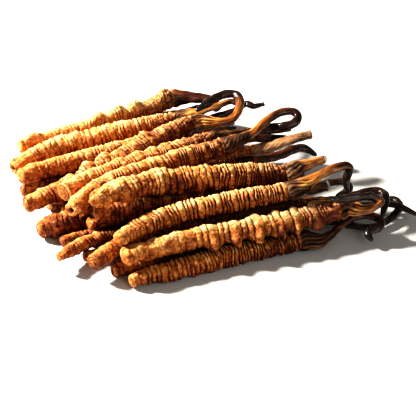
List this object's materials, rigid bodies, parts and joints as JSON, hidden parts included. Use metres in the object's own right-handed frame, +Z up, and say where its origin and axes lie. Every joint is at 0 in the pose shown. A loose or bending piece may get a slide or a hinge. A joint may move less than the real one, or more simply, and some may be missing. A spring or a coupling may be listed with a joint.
{
  "type": "cordyceps bundle",
  "caption": "Loose bundle of dried cordyceps fungus: ringed golden-tan larva bodies laid side by side in a low heap, each with a dark hooked stalk at its head.",
  "frame": {"origin": "on the surface that the heap lies on, under the middle of its box", "axes": "+X along the larvae towards their stalks, +Y across the heap towards its back, +Z up"},
  "size_m": [0.0822, 0.0782, 0.0173],
  "materials": {
    "larva": "matte dried skin, golden tan with cream ridges and dark brown folds",
    "stalk": "hard, half glossy and wrinkled lengthwise, amber brown near the head to almost black at the tip"
  },
  "bodies": {
    "root": {"larva_01": "larva", "stalk_01": "stalk", "larva_02": "larva", "stalk_02": "stalk", "larva_03": "larva", "stalk_03": "stalk", "larva_04": "larva", "stalk_04": "stalk", "larva_05": "larva", "stalk_05": "stalk", "larva_06": "larva", "stalk_06": "stalk", "larva_07": "larva", "stalk_07": "stalk", "larva_08": "larva", "stalk_08": "stalk", "larva_09": "larva", "stalk_09": "stalk", "larva_10": "larva", "stalk_10": "stalk", "larva_11": "larva", "stalk_11": "stalk", "larva_12": "larva", "stalk_12": "stalk", "larva_13": "larva", "stalk_13": "stalk", "larva_14": "larva", "stalk_14": "stalk", "larva_15": "larva", "stalk_15": "stalk", "larva_16": "larva", "stalk_16": "stalk", "larva_17": "larva", "stalk_17": "stalk", "larva_18": "larva", "stalk_18": "stalk", "larva_19": "larva", "stalk_19": "stalk", "larva_20": "larva", "stalk_20": "stalk", "larva_21": "larva", "stalk_21": "stalk", "larva_22": "larva", "stalk_22": "stalk", "larva_23": "larva", "stalk_23": "stalk", "larva_24": "larva", "stalk_24": "stalk", "larva_25": "larva", "stalk_25": "stalk", "larva_26": "larva", "stalk_26": "stalk", "larva_27": "larva", "stalk_27": "stalk"}
  },
  "joints": []
}
